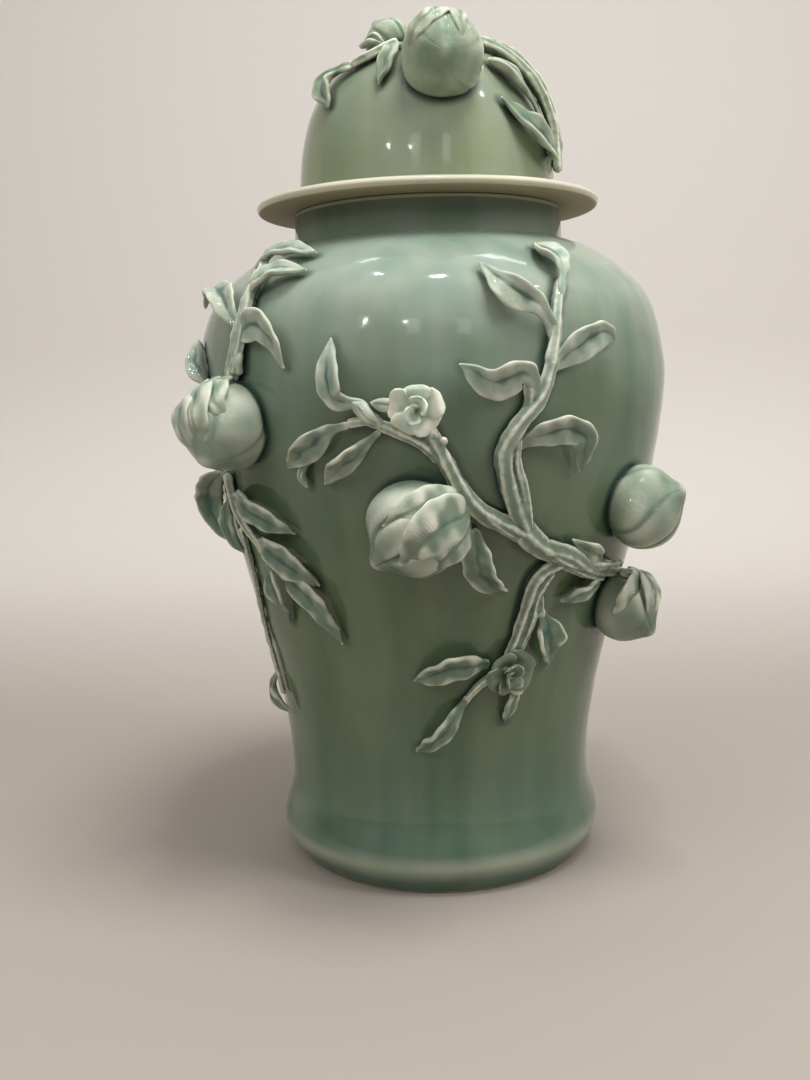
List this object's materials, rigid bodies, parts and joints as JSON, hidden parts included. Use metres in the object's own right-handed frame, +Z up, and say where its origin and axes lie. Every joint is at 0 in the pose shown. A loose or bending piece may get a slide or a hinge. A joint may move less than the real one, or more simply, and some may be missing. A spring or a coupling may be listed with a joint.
{
  "type": "covered celadon jar",
  "caption": "Tall covered baluster jar in celadon glaze, domed lid with a wide flange, and peach branches laid on in relief round the jar and over the lid.",
  "frame": {"origin": "on the jar's axis, at the level of the surface that it stands on", "axes": "+Z up along the jar's axis; the front, with the blossoms and the fruit in the picture, faces -Y; +X is to the right as seen from the front"},
  "size_m": [0.401, 0.4722, 0.7149],
  "materials": {
    "celadon_glaze": "glossy celadon glaze over stoneware, grey-green with bluer runs, pale thin line at the foot",
    "lid_celadon_glaze": "glossy celadon glaze, cream where it thins at the flange edge, matt biscuit under the flange",
    "branch_glaze": "the same glaze over rolled coils of clay, pale on the ridges and blue-green in the hollows",
    "leaf_glaze": "the same glaze over pinched leaves, cream on edges and veins, turquoise where it pools",
    "peach_glaze": "the same glaze over the fruit, mottled, cream at the beaks",
    "blossom_glaze": "the same glaze run thin over the blossoms, mostly cream"
  },
  "bodies": {
    "jar": {"jar_body": "celadon_glaze", "front_peach": "peach_glaze", "left_peach": "peach_glaze", "right_upper_peach": "peach_glaze", "right_lower_peach": "peach_glaze", "back_upper_peach": "peach_glaze", "back_lower_peach": "peach_glaze", "front_trunk": "branch_glaze", "limb_branch": "branch_glaze", "riser_branch": "branch_glaze", "falling_branch": "branch_glaze", "left_riser": "branch_glaze", "left_runner": "branch_glaze", "left_trail": "branch_glaze", "back_branch": "branch_glaze", "upper_flower": "blossom_glaze", "lower_flower": "blossom_glaze", "back_flower": "blossom_glaze", "limb_leaf_end": "leaf_glaze", "limb_leaf_low": "leaf_glaze", "limb_leaf_top": "leaf_glaze", "riser_leaf_left_top": "leaf_glaze", "riser_leaf_right": "leaf_glaze", "riser_leaf_left_low": "leaf_glaze", "riser_leaf_droop": "leaf_glaze", "riser_leaf_crown": "leaf_glaze", "fork_leaf_up": "leaf_glaze", "fork_leaf_down": "leaf_glaze", "falling_leaf_cup": "leaf_glaze", "falling_leaf_left": "leaf_glaze", "falling_leaf_tip": "leaf_glaze", "front_peach_leaf": "leaf_glaze", "front_peach_leaf_low": "leaf_glaze", "right_peach_leaf": "leaf_glaze", "left_leaf_crown": "leaf_glaze", "left_leaf_shoulder": "leaf_glaze", "left_leaf_curl": "leaf_glaze", "left_leaf_droop": "leaf_glaze", "left_leaf_edge": "leaf_glaze", "left_peach_leaf": "leaf_glaze", "left_leaf_under": "leaf_glaze", "left_leaf_roll": "leaf_glaze", "left_leaf_middle": "leaf_glaze", "left_leaf_long": "leaf_glaze", "left_trail_leaf": "leaf_glaze", "back_leaf_top": "leaf_glaze", "back_leaf_crown": "leaf_glaze", "back_leaf_side": "leaf_glaze", "back_peach_leaf": "leaf_glaze", "back_leaf_right": "leaf_glaze"},
    "lid": {"lid_body": "lid_celadon_glaze", "lid_peach": "peach_glaze", "lid_small_peach": "peach_glaze", "lid_twig_left": "branch_glaze", "lid_twig_right": "branch_glaze", "lid_peach_leaf": "leaf_glaze", "lid_leaf_fork": "leaf_glaze", "lid_leaf_left": "leaf_glaze", "lid_leaf_curl": "leaf_glaze", "lid_leaf_heart": "leaf_glaze"}
  },
  "joints": [
    {"name": "lid_lift", "type": "slide", "parent": "jar", "child": "lid", "axis": [0, 0, 1], "range_m": [0, 0.25]}
  ]
}
